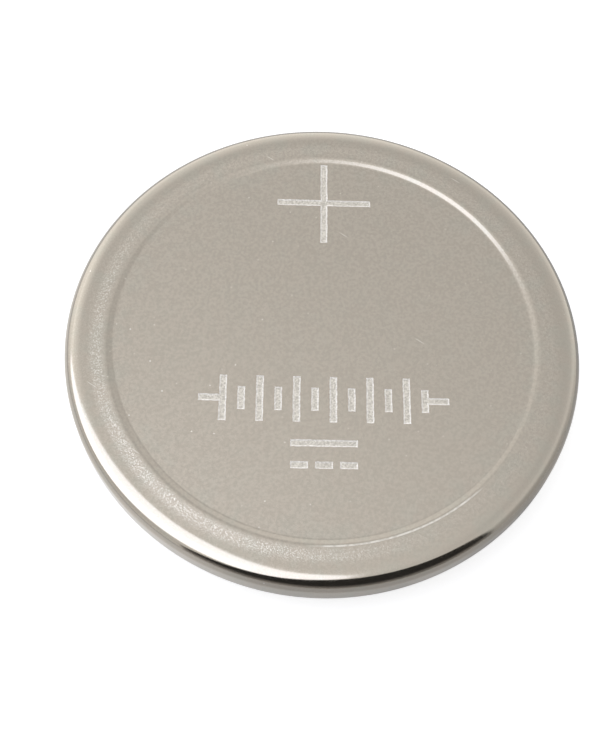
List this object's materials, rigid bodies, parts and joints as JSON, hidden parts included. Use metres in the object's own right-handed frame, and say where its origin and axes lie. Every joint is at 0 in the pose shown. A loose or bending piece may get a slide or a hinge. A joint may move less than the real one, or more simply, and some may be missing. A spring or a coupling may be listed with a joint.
{
  "type": "lithium coin cell",
  "caption": "Flat round lithium cell lying on its negative cap: deep drawn steel can with a sunk panel, crimped over a plastic gasket and a pressed cap, with its stack of discs inside.",
  "frame": {"origin": "centre of the flat negative contact face, on the surface that the cell lies on", "axes": "+Z along the cell's axis, from the negative contact face towards the positive face; +X along the line of the marks on the positive face, as they are read"},
  "size_m": [0.023, 0.023, 0.003],
  "materials": {
    "can_steel": "satin nickel-plated stainless steel, slightly frosted",
    "gasket_plastic": "natural translucent polypropylene",
    "cap_steel": "satin stainless steel",
    "lithium_foil": "soft silvery foil",
    "separator_felt": "white non-woven felt",
    "cathode_powder": "pressed black powder",
    "collector_mesh": "bare steel mesh"
  },
  "bodies": {
    "root": {"positive_can": "can_steel", "gasket": "gasket_plastic", "negative_cap": "cap_steel", "lithium_anode": "lithium_foil", "separator": "separator_felt", "cathode_pellet": "cathode_powder", "current_collector": "collector_mesh"}
  },
  "joints": []
}
